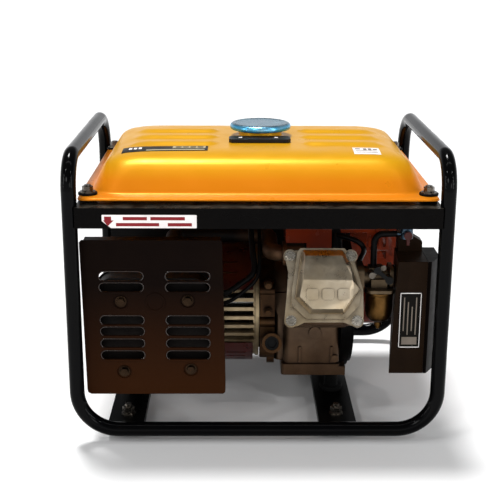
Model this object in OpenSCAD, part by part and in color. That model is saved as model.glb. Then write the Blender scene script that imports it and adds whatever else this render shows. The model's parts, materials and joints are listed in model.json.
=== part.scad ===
// Open-frame portable generator, 1 kW class, four-stroke engine with a side-mounted alternator.
// Millimetres. Origin at the bottom centre. +X to the alternator's far side from the operator's
// left to right, +Z up, and the engine's cylinder head faces -Y. The control panel faces +Y.

/* [Frame] */
// Length over the frame tubes
frame_length = 460; // [440:5:480]
// Depth over the frame tubes
frame_depth = 366; // [340:2:380]
// Height to the top of the carrying handles
handle_height = 365; // [350:5:380]
// Diameter of the frame tube
tube_diameter = 18; // [16:1:22]
// Bend radius of the four lower corners
lower_bend = 50; // [40:2:60]
// Bend radius at the ends of the two handles
handle_bend = 38; // [30:2:45]
// Bend radius at the rear end of the two handles
handle_bend_rear = 58; // [40:2:58]
// Height of the folded cross rails
rail_height = 25; // [20:1:30]

/* [Tank] */
// Half length of the tank flange
flange_x = 213; // [205:1:213]
// Half depth of the tank flange
flange_y = 168; // [160:1:168]
// Height of the top of the tank flange
flange_top = 308.3; // [306:0.1:310]
// Thickness of the tank sheet
tank_sheet = 1.2; // [1:0.1:2]
// Diameter of the fuel cap
cap_diameter = 78; // [70:1:84]

/* [Engine] */
// Inclination of the cylinder above the horizontal
cylinder_tilt = 25; // [20:1:30]
// Radius of the blower housing
blower_radius = 90; // [84:1:92]
// Radius of the alternator cover
alternator_radius = 83; // [80:1:85]

/* [Hidden] */
$fn = 64;
TR = tube_diameter / 2;
UX = frame_length / 2 - TR;
UY = frame_depth / 2 - TR;
BZ = 17;
HZ = handle_height - TR;
SX = 99;
RZ1 = 301;
RZ0 = RZ1 - rail_height;
CX = 79.5;
CY = 18;
CZ = 121;
CYZ = CZ - 5;
PV = 49;
PW = 137;
IV = 20;
IW = 140;
CAPX = 5;
CAPY = 20;

// Cylinders along each axis, between two stations
module cylx(x0, x1, y, z, r) { translate([x0, y, z]) rotate([0, 90, 0]) cylinder(h = x1 - x0, r = r); }
module cyly(y0, y1, x, z, r) { translate([x, y1, z]) rotate([90, 0, 0]) cylinder(h = y1 - y0, r = r); }
module cylz(z0, z1, x, y, r) { translate([x, y, z0]) cylinder(h = z1 - z0, r = r); }
// Box between two corners
module box(x0, x1, y0, y1, z0, z1) { translate([x0, y0, z0]) cube([x1 - x0, y1 - y0, z1 - z0]); }
// Upright prism with rounded corners
module rbz(x0, x1, y0, y1, z0, z1, r) {
  box(x0 + r, x1 - r, y0, y1, z0, z1);
  box(x0, x1, y0 + r, y1 - r, z0, z1);
  for (x = [x0 + r, x1 - r]) for (y = [y0 + r, y1 - r]) cylz(z0, z1, x, y, r);
}
// The same, extruded along Y (outline in X and Z) and along X (outline in Y and Z)
module rby(x0, x1, z0, z1, y0, y1, r) {
  translate([0, y1, 0]) rotate([90, 0, 0]) rbz(x0, x1, z0, z1, 0, y1 - y0, r);
}
module rbx(y0, y1, z0, z1, x0, x1, r) {
  translate([x0, 0, 0]) rotate([90, 0, 90]) rbz(y0, y1, z0, z1, 0, x1 - x0, r);
}
// Hexagonal head or nut along Z
module hexz(z0, z1, x, y, af) {
  translate([x, y, z0]) cylinder(h = z1 - z0, r = af / sqrt(3), $fn = 6);
}
module hexy(y0, y1, x, z, af) {
  translate([x, y1, z]) rotate([90, 0, 0]) cylinder(h = y1 - y0, r = af / sqrt(3), $fn = 6);
}
// Quarter bends in the planes XZ, YZ and XY, starting at angle a
module bend_xz(c, a, rr, r) {
  translate(c) rotate([90, 0, 0]) rotate([0, 0, a])
    rotate_extrude(angle = 90) translate([rr, 0]) circle(r = r);
}
module bend_yz(c, a, rr, r) {
  translate(c) rotate([90, 0, 90]) rotate([0, 0, a])
    rotate_extrude(angle = 90) translate([rr, 0]) circle(r = r);
}
module bend_xy(c, a, rr, r) {
  translate(c) rotate([0, 0, a]) rotate_extrude(angle = 90) translate([rr, 0]) circle(r = r);
}
// Thin tube round a smooth curve through hand-chosen points, as one polyhedron
function unit(v) = v / norm(v);
function spline(p, t) = let (i = min(floor(t), len(p) - 2), f = t - i, a = p[max(i - 1, 0)], b = p[i],
  c = p[i + 1], d = p[min(i + 2, len(p) - 1)])
  0.5 * (2 * b + (c - a) * f + (2 * a - 5 * b + 4 * c - d) * f * f + (3 * b - a - 3 * c + d) * f * f * f);
function heading(p, t) = unit(spline(p, min(t + 0.02, len(p) - 1)) - spline(p, max(t - 0.02, 0)));
function carried(h, k) = k == 0 ? unit(cross(h[0], [0.2, 0.5, 0.8]))
  : let (u = carried(h, k - 1)) unit(u - (u * h[k]) * h[k]);
module swept_tube(p, r, steps, sides) {
  n = (len(p) - 1) * steps;
  h = [for (k = [0:n]) heading(p, k / steps)];
  rings = [for (k = [0:n]) let (u = carried(h, k), v = cross(h[k], u)) for (j = [0:sides - 1])
    spline(p, k / steps) + r * (cos(360 * j / sides) * u + sin(360 * j / sides) * v)];
  walls = [for (k = [0:n - 1]) for (j = [0:sides - 1]) let (e = (j + 1) % sides)
    for (f = [[k * sides + j, (k + 1) * sides + e, k * sides + e],
      [k * sides + j, (k + 1) * sides + j, (k + 1) * sides + e]]) f];
  polyhedron(points = rings, faces = concat([[for (j = [0:sides - 1]) j]], walls,
    [[for (j = [sides - 1:-1:0]) n * sides + j]]));
}
// Engine cylinder frame: x along the crankshaft, y across the cylinder upwards, z outwards.
// The cylinder axis passes 5 mm below the crankshaft's centre
module along_cylinder() {
  translate([CX, CY, CYZ]) rotate([90 - cylinder_tilt, 0, 0]) children();
}

// A point of the engine cylinder frame in the common frame, as [y, z]
function in_cylinder(v, w) = [CY - w * cos(cylinder_tilt) + v * sin(cylinder_tilt),
  CYZ + w * sin(cylinder_tilt) + v * cos(cylinder_tilt)];
PORT = in_cylinder(PV, PW);
INTAKE = in_cylinder(IV, IW);

// ---- Frame ----
module half_frame(s, x0, x1) {
  // lower rails, corner bends, uprights, handle bends and the handle of one side
  for (m = [-1, 1]) {
    top = m < 0 ? handle_bend : handle_bend_rear;
    cylx(x0, x1, m * UY, BZ, TR);
    bend_xz([s * (UX - lower_bend), m * UY, BZ + lower_bend], s < 0 ? 180 : 270, lower_bend, TR);
    cylz(BZ + lower_bend, HZ - top, s * UX, m * UY, TR);
    bend_yz([s * UX, m * (UY - top), HZ - top], m < 0 ? 90 : 0, top, TR);
  }
  cyly(-(UY - handle_bend), UY - handle_bend_rear, s * UX, HZ, TR);
}
module frame_tube_left() { color([0.03, 0.03, 0.03]) half_frame(-1, -(UX - lower_bend), SX); }
module frame_tube_right() { color([0.03, 0.03, 0.03]) half_frame(1, SX, UX - lower_bend); }

module cross_rail(m) {
  // folded angle: upright face, top flange under the tank edge and a short lower return
  difference() {
    union() {
      box(-214.5, 214.5, m < 0 ? -UY - TR : UY + TR - 2, m < 0 ? -UY - TR + 2 : UY + TR, RZ0, RZ1);
      box(-214.5, 214.5, m < 0 ? -UY - TR + 1 : 132, m < 0 ? -132 : UY + TR - 1, RZ1 - 2, RZ1);
      box(-212, 212, m < 0 ? -UY - TR + 1 : UY + TR - 9, m < 0 ? -UY - TR + 9 : UY + TR - 1,
        RZ0, RZ0 + 2);
    }
    for (x = [-UX, UX]) cylz(RZ0 - 1, RZ1 + 1, x, m * UY, TR + 0.02);
    for (x = [-203, 203]) cylz(RZ0 - 1, RZ1 + 1, x, m * 144, 4.3);
  }
}
module front_cross_rail() { color([0.04, 0.04, 0.04]) cross_rail(-1); }
module rear_cross_rail() { color([0.04, 0.04, 0.04]) cross_rail(1); }

module base_plate(x0, x1, xb, ym) {
  difference() {
    union() {
      box(x0, x1, -UY, UY, BZ - 3, BZ);
      for (x = [x0, x1 - 2]) box(x, x + 2, -UY + TR + 3, UY - TR - 3, BZ - 9, BZ - 2.5);
    }
    for (m = [-1, 1]) {
      cylx(x0 - 1, x1 + 1, m * UY, BZ, TR + 0.02);
      cylz(BZ - 4, BZ + 1, xb, m * 129, 4.2);
    }
    for (y = ym) cylz(BZ - 4, BZ + 1, xb, y, 4.2);
  }
}
LB = -164;
RB = 101.5;
LM = [-34, 70];
RM = [-48, 70];
module base_plate_left() { color([0.04, 0.04, 0.04]) base_plate(-187, -142, LB, LM); }
module base_plate_right() { color([0.04, 0.04, 0.04]) base_plate(78, 125, RB, RM); }

module rubber_feet() {
  color([0.06, 0.06, 0.06]) for (x = [LB, RB]) for (y = [-129, 129]) difference() {
    union() {
      cylz(0, BZ - 3.2, x, y, 13);
      cylz(3, BZ - 3, x, y, 15);
    }
    cylz(-1, 6, x, y, 8.3);
    cylz(-1, BZ + 1, x, y, 4.2);
  }
}
module frame_bolts() {
  color([0.75, 0.76, 0.78]) {
    // foot bolts: head up inside the rubber, washer, spring washer and nut on the plate
    for (x = [LB, RB]) for (y = [-129, 129]) {
      hexz(1.2, 6, x, y, 12);
      cylz(2, BZ + 14, x, y, 4);
      cylz(BZ, BZ + 1.6, x, y, 9);
      cylz(BZ + 1.6, BZ + 3.6, x, y, 7);
      hexz(BZ + 3.6, BZ + 10, x, y, 13);
    }
    // bolts of the engine and alternator mounts, from below
    for (y = RM) { hexz(BZ - 8.6, BZ - 3, RB, y, 12); cylz(BZ - 4, 55, RB, y, 4); }
    for (y = LM) {
      hexz(BZ - 8.6, BZ - 3, LB, y, 12);
      cylz(BZ - 4, 58, LB, y, 4);
      hexz(49, 55.5, LB, y, 12);
    }
  }
}
module rubber_mount(x, y, reach) {
  difference() {
    union() {
      cylz(BZ, 42, x, y, 9.2);
      cylz(BZ, 23, x, y, 15);
      rbz(x - 15, x + reach, y - 14, y + 14, 41, 45, 5);
    }
    cylz(BZ - 1, 46, x, y, 4.2);
  }
}
module engine_mounts() {
  color([0.07, 0.07, 0.07]) {
    for (y = RM) rubber_mount(RB, y, 9.3);
    for (y = LM) rubber_mount(LB, y, 15);
  }
}

// ---- Alternator ----
module alternator_foot() {
  // folded bracket that carries the alternator's free end
  color([0.05, 0.05, 0.05]) difference() {
    union() {
      rbz(-182, -146, -50, 86, 45, 48.5, 6);
      for (m = [-1, 1]) box(-170, -158, CY + 33 * m - 6, CY + 33 * m + 6, 47, 56);
    }
    cylx(-183, -140, CY, CZ, 74.2);
    for (y = LM) cylz(44, 50, LB, y, 4.2);
  }
}
module around(t) { translate([0, CY, CZ]) rotate([t, 0, 0]) children(); }
module alternator_bracket() {
  color([0.72, 0.7, 0.64]) difference() {
    union() {
      cylx(-1, 3.7, CY, CZ, 77);
      cylx(-56, -1, CY, CZ, 75.5);
    }
    cylx(-60, -1.5, CY, CZ, 70.5);
    cylx(-10, 4, CY, CZ, 26);
    around(-1) box(-46, -4, -85, -55, -36, 36);
    for (t = [64:24:300]) around(t) box(-44, -8, -85, -60, -5, 5);
  }
  // row of horizontal ventilation ribs facing the cylinder side
  color([0.72, 0.7, 0.64]) for (i = [-3:3]) around(-1 + 8.6 * i)
    box(-47, -3, -80.5, -73.5, -2.3, 2.3);
}
module alternator_cover() {
  // painted wrapper, open towards the cylinder side where the ribs stand
  color([0.35, 0.06, 0.03]) difference() {
    cylx(-128, -4.5, CY, CZ, alternator_radius);
    cylx(-129, -4, CY, CZ, alternator_radius - 1.6);
    around(-1) box(-46, -4, -95, -50, -37, 37);
    for (t = [-55, -44]) around(t) box(-66, -24, -90, -70, -1.1, 1.1);
    for (t = [40, 48, 56]) around(t) box(-40, -14, -90, -70, -1.3, 1.3);
    for (t = [90:15:270]) around(t) box(-110, -70, -90, -70, -2, 2);
  }
  color([0.35, 0.06, 0.03]) difference() {
    cylx(-128, -124, CY, CZ, alternator_radius - 1.5);
    cylx(-129, -123, CY, CZ, 71);
  }
}
module alternator_stator() {
  color([0.42, 0.3, 0.2]) difference() {
    union() {
      cylx(-122, -56.2, CY, CZ, 70.8);
      cylx(-136, -122, CY, CZ, 66);
      cylx(-56.2, -46, CY, CZ, 64);
    }
    cylx(-137, -45, CY, CZ, 50);
  }
}
module alternator_rotor() {
  color([0.35, 0.34, 0.33]) difference() {
    union() {
      cylx(-118, -60, CY, CZ, 49.4);
      cylx(-128, -52, CY, CZ, 40);
      for (t = [0:40:320]) around(t) box(-50, -40, -44, -14, -1.2, 1.2);
      cylx(-52, -38, CY, CZ, 20);
    }
    cylx(-130, -30, CY, CZ, 12);
  }
}
module alternator_end_cover() {
  // slotted cup with a hub on four spokes that holds the end bearing
  color([0.05, 0.05, 0.055]) difference() {
    union() {
      difference() {
        union() {
          cylx(-176, -128.2, CY, CZ, 74);
          cylx(-180, -175, CY, CZ, 66);
        }
        cylx(-174, -128, CY, CZ, 70);
        cylx(-177, -170, CY, CZ, 58);
      }
      cylx(-168, -150, CY, CZ, 20);
      for (t = [45:90:315]) around(t) box(-166, -158, -72, -16, -4, 4);
    }
    cylx(-182, -149, CY, CZ, 12.06);
    for (t = [0:30:330]) around(t) box(-181, -175, -54, -26, -2.2, 2.2);
    for (t = [100:20:260]) around(t) box(-171, -138, -80, -60, -2.5, 2.5);
  }
}

// ---- Fuel tank ----
module tank_form(t, z0, r0) {
  hull() {
    rbz(-r0 + t, r0 - t, -144 + t, 144 - t, z0, z0 + 0.6, 34 - t);
    for (sx = [-1, 1]) for (sy = [-1, 1]) for (a = [0, 45, 90])
      translate([sx * (147 + 22 * cos(a)), sy * (91 + 22 * sin(a)), 325.5]) sphere(r = 22 - t, $fn = 32);
    rbz(-132, 132, -76, 76, 350.4 - t, 351 - t, 40);
  }
}
module tank_upper_shell() {
  color([0.97, 0.57, 0.1]) difference() {
    union() {
      rbz(-flange_x, flange_x, -flange_y, flange_y, flange_top - tank_sheet, flange_top, 8);
      tank_form(0, flange_top - 0.8, 200);
      for (x = [-160, 55]) for (y = [-8, 62]) {
        cylx(x + 8, x + 97, y, 346.2, 6.2);
        for (e = [x + 8, x + 97]) translate([e, y, 346.2]) sphere(r = 6.2, $fn = 24);
      }
      // filler neck and the seat of the level gauge
      cylz(346, 352.4, CAPX, CAPY, 30.5);
      cylz(346, 361, CAPX, CAPY, 28.6);
    }
    tank_form(tank_sheet, flange_top - 2, 200);
    box(-198, 198, -142, 142, 295, flange_top - 1);
    box(-230, 230, -190, 190, 295, flange_top - tank_sheet);
    cylz(330, 362, CAPX, CAPY, 27);
    rbz(-14, 24, -29, -21, 340, 352, 3);
    for (x = [-203, 203]) for (y = [-144, 144]) cylz(300, 312, x, y, 4.3);
  }
}
module tank_lower_shell() {
  z1 = flange_top - tank_sheet;
  color([0.93, 0.52, 0.09]) difference() {
    union() {
      rbz(-flange_x, flange_x, -flange_y, flange_y, z1 - tank_sheet, z1, 8);
      hull() {
        rbz(-197, 197, -128, 128, z1 - 2, z1 - 1, 30);
        rbz(-184, 184, -114, 114, 268, 269, 30);
      }
    }
    hull() {
      rbz(-195.5, 195.5, -126.5, 126.5, z1 - 0.6, z1 + 0.5, 28.5);
      rbz(-182.5, 182.5, -112.5, 112.5, 269.5, 270, 28.5);
    }
    for (x = [-203, 203]) for (y = [-144, 144]) cylz(300, 312, x, y, 4.3);
    cylz(260, 275, 186, -100, 4.5);
  }
}
module tank_grommets() {
  z1 = flange_top - 2 * tank_sheet;
  color([0.05, 0.05, 0.05]) for (x = [-203, 203]) for (y = [-144, 144]) difference() {
    union() {
      cylz(RZ1, z1, x, y, 10.5);
      cylz(flange_top, flange_top + 2.6, x, y, 11.5);
    }
    cylz(RZ1 - 1, flange_top + 4, x, y, 4.3);
  }
}
module tank_bolts() {
  z = flange_top + 2.6;
  color([0.72, 0.73, 0.75]) for (x = [-203, 203]) for (y = [-144, 144]) {
    cylz(292, z + 9, x, y, 3.9);
    cylz(z, z + 1.4, x, y, 9.5);
    cylz(z + 1.4, z + 2.8, x, y, 6.6);
    hexz(z + 2.8, z + 7.4, x, y, 11.5);
    hexz(RZ1 - 8, RZ1 - 2, x, y, 12);
  }
}
module fuel_cap_shell() {
  // flat pressed cap with rounded rim and a shallow dish on top
  r = cap_diameter / 2;
  color([0.45, 0.55, 0.6]) translate([CAPX, CAPY, 0]) rotate_extrude() polygon([[0, 365],
    [r - 2, 365], [r - 2, 359.6], [r - 0.4, 359.6], [r + 0.9, 361.2], [r + 1, 364], [r + 0.2, 366.2],
    [r - 2, 367.7], [r - 5, 368.2], [r - 7.5, 367.4], [0, 367.4]]);
}
module fuel_cap_plug() {
  // gasket disc that closes the neck from above, hollowed in the middle
  color([0.2, 0.2, 0.2]) difference() {
    cylz(361.8, 364.7, CAPX, CAPY, 34);
    cylz(361, 363.4, CAPX, CAPY, 28);
  }
}
module fuel_strainer() {
  color([0.85, 0.85, 0.8]) difference() {
    union() {
      cylz(361, 361.8, CAPX, CAPY, 30);
      cylz(305, 361.2, CAPX, CAPY, 26.7);
    }
    cylz(306.2, 363, CAPX, CAPY, 25.5);
    for (t = [15:30:345]) for (z = [309, 328]) translate([CAPX, CAPY, 0]) rotate([0, 0, t])
      box(20, 30, -2.6, 2.6, z, z + 13);
  }
}
module gauge_bezel() {
  // long bezel with pointed ends
  color([0.06, 0.06, 0.06]) difference() {
    union() {
      translate([3.3, -25, 351]) linear_extrude(height = 4.4)
        polygon([[-39.5, -8], [-36, -13], [36, -13], [39.5, -8], [39.5, 8], [36, 13], [-36, 13],
          [-39.5, 8]]);
      box(-13, 23, -28.5, -21.5, 343, 351);
    }
    rbz(-17, 27, -30, -20, 352.8, 356, 2);
    rbz(-15, 25, -29, -21, 351.2, 356, 2);
    cylz(349, 352, 5, -25, 1.55);
  }
}
module gauge_lens() { color([0.7, 0.75, 0.75, 0.5]) rbz(-16.8, 26.8, -29.8, -20.2, 353.4, 354.8, 2); }
module gauge_pointer() {
  color([0.9, 0.3, 0.1]) {
    cylz(349.4, 352.4, 5, -25, 1.5);
    box(3.9, 4.8, -27, -21.6, 351.6, 352.3);
    box(3.9, 6.1, -27, -25, 351.6, 352.3);
  }
}
module fuel_valve_body() {
  color([0.5, 0.6, 0.66]) {
    cylz(252, 271, 186, -100, 4.3);
    cylz(254, 267.6, 186, -100, 7.6);
    hexz(259, 265, 186, -100, 17);
    difference() {
      union() {
        cylz(242.5, 255, 186, -100, 8);
        cyly(-112, -100, 186, 249, 5.6);
        cylx(166, 186, -100, 248, 2.6);
      }
      cyly(-113, -104, 186, 249, 2.65);
    }
  }
}
module fuel_valve_lever() {
  color([0.62, 0.1, 0.06]) {
    cyly(-115, -105, 186, 249, 2.6);
    cyly(-115.8, -112.3, 186, 249, 5.2);
    box(184.2, 187.8, -115.8, -112.3, 237, 249);
  }
}
module fuel_hose() {
  // from the valve's spigot down to the carburettor inlet
  color([0.03, 0.03, 0.03]) difference() {
    union() {
      cylx(158, 174, -100, 248, 4);
      bend_xz([158, -100, 236], 90, 12, 4);
      cylz(207, 236, 146, -100, 4);
    }
    cylx(157, 175, -100, 248, 2.65);
    cylz(206, 217, 146, -100, 2.65);
  }
}

// ---- Engine ----
module crankcase() {
  color([0.42, 0.38, 0.33]) difference() {
    union() {
      rbz(36, 110.6, -66, 74, 58, 146, 9);
      cylx(24.2, 110.6, CY, CZ, 62);
      rbz(24.2, 70, -54, 66, 60, 150, 8);
      rbz(33, 110.6, -70, 88, 45, 60, 5);
      box(100, 118, -70, -52, 45, 57);
      along_cylinder() translate([0, 0, 56]) rbz(-35.5, 31, -37, 37, -6, 12, 8);
      // shallow ribs and bosses on the front wall
      for (x = [56, 98]) box(x, x + 3, -68.5, -60, 62, 84);
      cyly(-69, -60, 77, 104, 8);
      cyly(-70, -60, 104, 68, 5);
    }
    cylx(20, 115, CY, CZ, 12.05);
    cylx(40, 96, CY, CZ, 50);
    along_cylinder() cylinder(h = 70, r = 26);
    along_cylinder() translate([-60, -37.5, 68]) cube([120, 120, 90]);
    for (y = RM) cylz(44, 56.5, RB, y, 4.2);
    for (x = [44, 78]) cylz(44, 52, x, -60, 3.4);
  }
}
module crankcase_side_cover() {
  color([0.5, 0.42, 0.28]) difference() {
    union() {
      cylx(4, 24, CY, CZ, 66);
      rbx(-60, 30, 62, 166, 5, 24, 12);
      rbx(-56, 20, 54, 80, 14, 24, 9);
      for (p = [[-54, 158], [-58, 116], [-52, 72], [30, 60], [78, 96], [78, 148], [10, 184]])
        cylx(4, 24, p[0], p[1], 7.5);
      translate([20, -56, 86]) rotate([72, 0, 0]) cylinder(h = 27, r = 13);
      // bosses and bolts along the joint
      for (z = [132, 169]) {
        cyly(-66, -52, 15, z, 5.4);
        cyly(-67.2, -66, 15, z, 5);
        hexy(-71, -67.2, 15, z, 7.6);
      }
    }
    cylx(3, 14, CY, CZ, 58);
    cylx(3, 25, CY, CZ, 12.05);
    translate([20, -56, 86]) rotate([72, 0, 0]) translate([0, 0, -4]) cylinder(h = 34, r = 9.2);
  }
}
module oil_filler_plug() {
  color([0.03, 0.03, 0.03]) translate([20, -56, 86]) rotate([72, 0, 0]) difference() {
    union() {
      translate([0, 0, 2]) cylinder(h = 22, r = 9);
      translate([0, 0, -3]) cylinder(h = 6, r = 3);
    }
    translate([0, 0, 17]) cylinder(h = 10, r = 6.5);
  }
}
module cylinder_and_head() {
  color([0.5, 0.48, 0.45]) along_cylinder() difference() {
    union() {
      translate([0, 0, 68.2]) cylinder(h = 60, r = 30);
      translate([0, 0, 68.2]) rbz(-35.5, 31, -37, 37, 0, 4, 8);
      for (w = [78, 86]) translate([0, 0, w]) rbz(-38, 31, -37, 42, 0, 2.2, 8);
      for (w = [94, 102, 110, 118]) translate([0, 0, w]) rbz(-38, 40, -42, 42, 0, 2.2, 8);
      // head with its fins, ports and the seat of the valve cover
      translate([0, 0, 124]) rbz(-36, 38, -38, 38, 0, 36, 8);
      for (w = [128, 136, 144]) translate([0, 0, w]) rbz(-39, 41, -43, 43, 0, 2.2, 8);
      translate([0, 0, 158]) rbz(-40, 42.4, -44, 46, 0, 10, 9);
      // intake port, and the exhaust port on its raised neck
      translate([36, IV, IW]) rotate([0, 90, 0]) cylinder(h = 6.5, r = 15);
      translate([-42, PV, PW]) rotate([0, 90, 0]) cylinder(h = 22, r = 12.5);
      translate([-38, 30, PW - 10]) cube([17, PV - 30, 20]);
    }
    translate([0, 0, 60]) cylinder(h = 80, r = 25);
    translate([-43, PV, PW]) rotate([0, 90, 0]) cylinder(h = 16, r = 9.5);
    translate([30, IV, IW]) rotate([0, 90, 0]) cylinder(h = 14, r = 9);
    translate([20, 46, 138]) rotate([90, 0, 0]) cylinder(h = 21, r = 5.2);
    translate([20, 46, 138]) rotate([90, 0, 0]) cylinder(h = 8, r = 11);
    for (p = VB) translate([p[0], p[1], 152]) cylinder(h = 17, r = 2.8);
  }
}
VB = [[-39, -40], [42, -40], [-39.5, 40], [35.5, 40]];
module valve_cover() {
  color([0.56, 0.54, 0.5]) along_cylinder() difference() {
    union() {
      // flange with four eared corners
      translate([0, 0, 168.2]) linear_extrude(height = 4)
        polygon([[-33, 47], [28, 48], [36, 45], [44, 20], [50, -2], [50, -36], [36, -46],
          [26, -42], [-22, -42], [-33, -47], [-47, -38], [-44, -8], [-42, 20], [-46, 40]]);
      for (p = VB) translate([p[0], p[1], 168.2]) cylinder(h = 4.6, r = 8.2);
      // lower step
      translate([0, 0, 168.2]) linear_extrude(height = 10)
        polygon([[-27, 49], [27, 49], [36, 38], [41, 22], [48, 0], [44, -22], [28, -38],
          [-20, -38], [-38, -22], [-38, -6], [-34, 20], [-31, 44]]);
      // raised box with a folded face
      hull() {
        translate([0, 0, 172]) linear_extrude(height = 10)
          polygon([[-24, 46], [24, 46], [33, 34], [39, 14], [44.5, -2], [25, -32], [-16, -32],
            [-34, -13], [-30, 14], [-27, 38]]);
        translate([0, 0, 172]) linear_extrude(height = 18)
          polygon([[-22, 38], [23, 38], [31, 30], [34, 14], [-27, 14]]);
        translate([0, 0, 172]) linear_extrude(height = 22)
          polygon([[-25, 9], [35, 9], [35, 7], [-25, 7]]);
        translate([0, 0, 172]) linear_extrude(height = 17.5)
          polygon([[38, -3], [23, -27], [-14, -27], [-29, -12]]);
      }
      // three raised blocks on the lower facet
      for (u = [-21, -2, 17]) translate([u, -9, 188.6]) rotate([7.5, 0, 0])
        translate([0, -6.5, 0]) rbz(0, 14, 0, 13, 0, 5.6, 2.6);
    }
    translate([0, 0, 167]) rbz(-26, 30, -24, 34, 0, 9, 8);
    for (p = VB) {
      translate([p[0], p[1], 160]) cylinder(h = 20, r = 3.2);
      translate([p[0], p[1], 172.8]) cylinder(h = 20, r = 7.4);
    }
  }
}
module valve_cover_bolts() {
  color([0.75, 0.74, 0.72]) along_cylinder() for (p = VB) {
    translate([p[0], p[1], 153]) cylinder(h = 22, r = 2.7);
    translate([p[0], p[1], 172.8]) cylinder(h = 1.4, r = 6.6);
    translate([p[0], p[1], 174.2]) cylinder(h = 4, r = 8 / sqrt(3) + 0.6, $fn = 6);
  }
}
module exhaust_pipe() {
  // from the head's port back over the alternator and down into the muffler's rear wall
  y0 = round(2 * PORT[0]) / 2;
  z0 = round(2 * PORT[1]) / 2;
  r = 10.5;
  e = 13.5;
  color([0.42, 0.3, 0.2]) difference() {
    union() {
      rbx(y0 - 19, y0 + 19, z0 - 13, z0 + 13, 32, 37.3, 8);
      cylx(17 + e, 33, y0, z0, r);
      bend_xy([17 + e, y0 + e, z0], 180, e, r);
      cyly(y0 + e, 2 - e, 17, z0, r);
      bend_xy([17 - e, 2 - e, z0], 0, e, r);
      cylx(-110 + e, 17 - e, 2, z0, r);
      bend_xy([-110 + e, 2 - e, z0], 90, e, r);
      cyly(-66 + e, 2 - e, -110, z0, r);
      bend_yz([-110, -66 + e, z0 - e], 90, e, r);
      cylz(188 + e, z0 - e, -110, -66, r);
      bend_yz([-110, -66 - e, 188 + e], 270, e, r);
      cyly(-88, -66 - e, -110, 188, r);
    }
    cylx(31.5, 38, y0, z0, 9);
  }
}
module muffler_body() {
  color([0.1, 0.08, 0.07]) difference() {
    union() {
      rby(-198, -60, 84, 200, -146, -86.5, 24);
      rby(-198, -60, 150, 204, -146, -86.5, 20);
      rby(-203, -55, 79, 206, -119, -115, 27);
      // bosses for the heat shield, the outlet and the collar of the pipe
      for (p = SB) cyly(-156, -140, p[0], p[1], 6);
      cylx(-209, -190, -104, 120, 10);
      cyly(-92, -84.5, -110, 188, 14);
    }
    rby(-196, -62, 86, 198, -144, -88.5, 22);
    cylx(-212, -188, -104, 120, 7.5);
    for (p = SB) cyly(-157, -147, p[0], p[1], 2.6);
    cyly(-93, -84, -110, 188, 10.55);
  }
}
SB = [[-166, 178.6], [-164, 88], [-85, 180], [-82, 90.7]];
module muffler_heat_shield() {
  color([0.1, 0.07, 0.05]) difference() {
    union() {
      // louvred face, flared side wall and top return
      translate([0, -158.6, 0]) rotate([90, 0, 0]) linear_extrude(height = 1.4)
        polygon([[-210.5, 64], [-209.5, 60], [-206, 58], [-43, 58], [-40, 60], [-39.5, 64],
          [-43.4, 253], [-45, 256], [-211, 256], [-213.6, 253]]);
      box(-210.8, -209.4, -159.5, -128, 74, 238);
      box(-211, -45, -159, -128, 250, 251.4);
      translate([0, -138, 0]) rotate([90, 0, 0]) linear_extrude(height = 21)
        polygon([[-39.6, 66], [-43.4, 250], [-44.8, 250], [-41, 66]]);
      for (p = SB) cyly(-160, -156.3, p[0], p[1], 12);
      translate([-124.4, -160, 178]) rotate([90, 0, 0]) difference() {
        translate([0, 0, -1.3]) cylinder(h = 2.2, r = 12);
        translate([0, 0, -0.2]) cylinder(h = 3, r = 10);
      }
      // lower lip of each louvre
      for (x = [-191.5, -111.5]) for (z = LZ) rby(x + 2, x + 51, z - 7.4, z - 5.2, -162, -158.6, 1);
    }
    for (x = [-191.5, -111.5]) for (z = LZ) rby(x, x + 53, z - 5.4, z + 5.4, -165, -155, 5.3);
    for (p = SB) { cyly(-165, -158.4, p[0], p[1], 9); cyly(-165, -150, p[0], p[1], 3.2); }
  }
}
LZ = [211, 197, 155, 140.5, 125, 109.5];
module shield_screws() {
  color([0.4, 0.33, 0.27]) for (p = SB) {
    cyly(-162, -148, p[0], p[1], 2.5);
    cyly(-159.6, -158.4, p[0], p[1], 7);
    hexy(-164, -159.6, p[0], p[1], 9);
  }
}
module spark_plug() {
  color([0.85, 0.84, 0.8]) along_cylinder() translate([20, 0, 138]) rotate([-90, 0, 0]) {
    translate([0, 0, 27]) cylinder(h = 12, r = 5);
    translate([0, 0, 38.6]) cylinder(h = 8, r = 16 / sqrt(3), $fn = 6);
    translate([0, 0, 46]) cylinder(h = 16, r = 5);
    translate([0, 0, 62]) cylinder(h = 6, r = 3);
  }
}
module ignition_lead() {
  color([0.03, 0.03, 0.03]) {
    along_cylinder() translate([20, 0, 138]) rotate([-90, 0, 0]) difference() {
      union() {
        translate([0, 0, 50]) cylinder(h = 21, r = 8.5);
        translate([0, 0, 69]) cylinder(h = 5, r = 6.5);
      }
      translate([0, 0, 49]) cylinder(h = 13.2, r = 5.05);
      translate([0, 0, 61]) cylinder(h = 7.2, r = 3.05);
    }
    swept_tube([[99.5, -76.6, 239.6], [107, -89, 241.5], [120, -98, 240], [131, -98, 233],
      [135, -88, 222], [134, -74, 211], [131.5, -62, 198]], 3.3, 3, 12);
  }
}
module crankshaft() {
  color([0.7, 0.7, 0.7]) union() {
    cylx(-160, 134, CY, CZ, 12);
    cylx(-149.6, -145, CY, CZ, 15);
    cylx(50, 62, CY, CZ, 34);
    cylx(74, 86, CY, CZ, 34);
  }
}
module flywheel_fan() {
  color([0.45, 0.45, 0.46]) difference() {
    union() {
      cylx(115.4, 120, CY, CZ, 74);
      cylx(113.6, 127, CY, CZ, 24);
      for (t = [0:20:340]) around(t) box(119, 125.4, -72, -50, -1, 1);
      // starter cup
      cylx(126, 140, CY, CZ, 21);
    }
    cylx(113, 141, CY, CZ, 12);
    cylx(135, 141, CY, CZ, 18.5);
  }
}
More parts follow.
